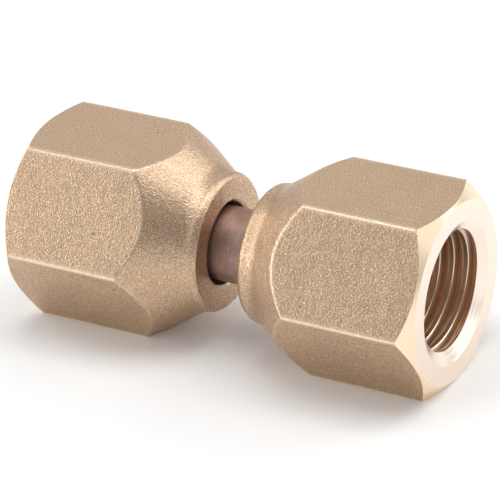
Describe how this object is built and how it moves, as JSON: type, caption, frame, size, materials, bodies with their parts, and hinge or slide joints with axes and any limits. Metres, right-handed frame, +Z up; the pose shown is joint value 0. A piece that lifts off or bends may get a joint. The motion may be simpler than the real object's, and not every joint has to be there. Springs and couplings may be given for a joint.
{
  "type": "flare swivel connector",
  "caption": "Brass flare fitting with a forged hex flare nut captive and free to turn on each flared end of a short copper tube.",
  "frame": {"origin": "middle of the swivel tube on its axis, which is the centre of the whole part", "axes": "+X along the tube towards the right nut's open mouth, +Z up through a flat of each hexagon"},
  "size_m": [0.038, 0.0182, 0.0158],
  "materials": {
    "forged_brass": "shot blasted forging, machined bright at the mouth",
    "copper_tube": "drawn copper, darkened"
  },
  "bodies": {
    "tube": {"swivel_tube": "copper_tube"},
    "right_nut": {"flare_nut_right": "forged_brass"},
    "left_nut": {"flare_nut_left": "forged_brass"}
  },
  "joints": [
    {"name": "right_nut_swivel", "type": "hinge", "parent": "tube", "child": "right_nut", "pos_m": [0, 0, 0], "axis": [1, 0, 0], "continuous": true},
    {"name": "left_nut_swivel", "type": "hinge", "parent": "tube", "child": "left_nut", "pos_m": [0, 0, 0], "axis": [1, 0, 0], "continuous": true}
  ]
}
